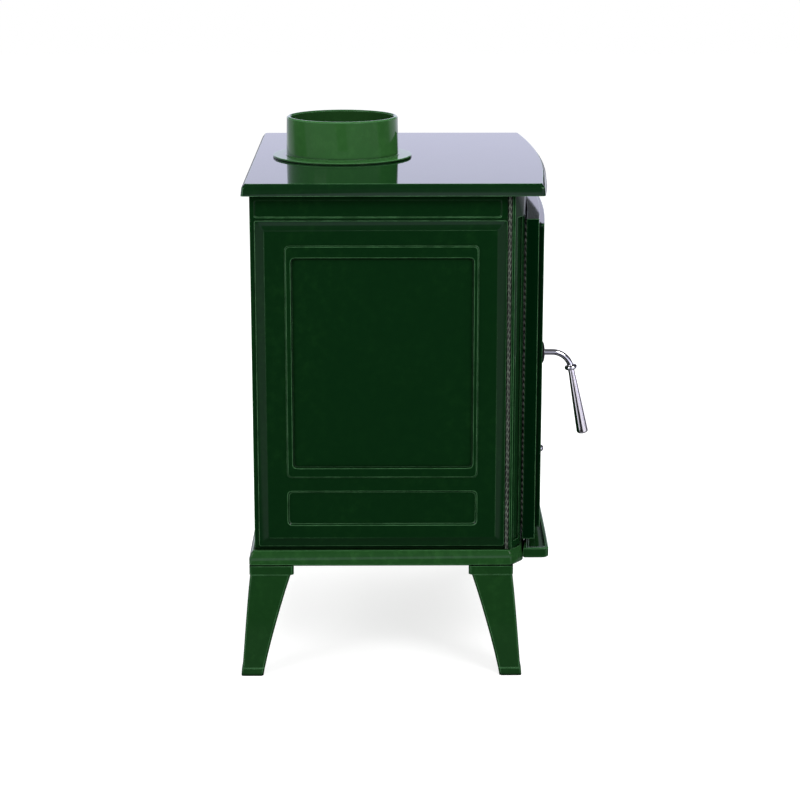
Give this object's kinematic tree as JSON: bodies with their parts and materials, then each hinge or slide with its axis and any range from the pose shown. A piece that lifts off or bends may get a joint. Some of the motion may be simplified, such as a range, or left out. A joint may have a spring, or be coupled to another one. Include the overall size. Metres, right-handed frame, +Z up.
{
  "type": "wood stove",
  "caption": "Free-standing cast-iron wood stove in dark green enamel, with splayed legs, a round top flue collar, moulded sides, and a bowed glazed door with a turning handle.",
  "frame": {"origin": "middle of the outer box, on the floor", "axes": "+Z up, the door faces -Y, +X to the right of someone who faces the door"},
  "size_m": [0.5464, 0.4614, 0.711],
  "materials": {
    "green_enamel": "high-gloss vitreous enamel on cast iron, dark bottle green, lighter where it thins on edges",
    "bare_iron": "rough black-painted casting",
    "black_sheet": "matt black heat-proof paint on sheet steel",
    "firebrick": "pale buff, chalky, fine pores",
    "seal_rope": "braided glass-fibre rope, dusty grey",
    "bolt_steel": "plain zinc-plated steel",
    "stove_glass": "clear glass ceramic with a slight smoky tint",
    "boss_black": "satin black enamel",
    "bright_chrome": "polished chrome",
    "brushed_nickel": "satin nickel, fine turning marks"
  },
  "bodies": {
    "stove": {"top_plate": "green_enamel", "flue_collar": "green_enamel", "base_plate": "green_enamel", "side_panel_left": "green_enamel", "side_panel_right": "green_enamel", "front_plate": "green_enamel", "back_plate": "green_enamel", "ash_lip": "green_enamel", "leg_front_left": "green_enamel", "leg_front_right": "green_enamel", "leg_rear_left": "green_enamel", "leg_rear_right": "green_enamel", "hearth_plate": "bare_iron", "grate": "bare_iron", "log_guard": "bare_iron", "collar_clamp_left": "bare_iron", "collar_clamp_right": "bare_iron", "ash_pan": "black_sheet", "baffle_plate": "firebrick", "firebrick_left": "firebrick", "firebrick_right": "firebrick", "firebrick_rear": "firebrick", "joint_seal_left": "seal_rope", "joint_seal_right": "seal_rope", "leg_bolt_front_left": "bolt_steel", "leg_bolt_front_right": "bolt_steel", "leg_bolt_rear_left": "bolt_steel", "leg_bolt_rear_right": "bolt_steel", "tie_bolt_front_left": "bolt_steel", "tie_bolt_front_right": "bolt_steel", "tie_bolt_rear_left": "bolt_steel", "tie_bolt_rear_right": "bolt_steel", "collar_bolt_left": "bolt_steel", "collar_bolt_right": "bolt_steel", "lip_screw_left": "bolt_steel", "lip_screw_right": "bolt_steel", "hinge_pin_lower": "bolt_steel", "hinge_pin_upper": "bolt_steel"},
    "door": {"door_frame": "green_enamel", "door_glass": "stove_glass", "glass_gasket": "seal_rope", "door_rope": "seal_rope", "escutcheon": "boss_black", "glass_clip_lower_left": "black_sheet", "glass_clip_lower_right": "black_sheet", "glass_clip_upper_left": "black_sheet", "glass_clip_upper_right": "black_sheet", "clip_screw_lower_left": "bolt_steel", "clip_screw_lower_right": "bolt_steel", "clip_screw_upper_left": "bolt_steel", "clip_screw_upper_right": "bolt_steel"},
    "handle": {"handle_rod": "bright_chrome", "handle_grip": "brushed_nickel", "latch_cam": "bare_iron"},
    "air_slider": {"air_shutter": "black_sheet", "air_knob": "bright_chrome"}
  },
  "joints": [
    {"name": "door_hinge", "type": "hinge", "parent": "stove", "child": "door", "pos_m": [0.2325, -0.15217, 0.39], "axis": [0, 0, 1], "range_deg": [0, 120]},
    {"name": "handle_turn", "type": "hinge", "parent": "door", "child": "handle", "pos_m": [-0.198, -0.172, 0.4234], "axis": [0, 1, 0], "range_deg": [0, 90]},
    {"name": "air_slide", "type": "slide", "parent": "door", "child": "air_slider", "axis": [1, 0, 0], "range_m": [0, 0.018]}
  ]
}
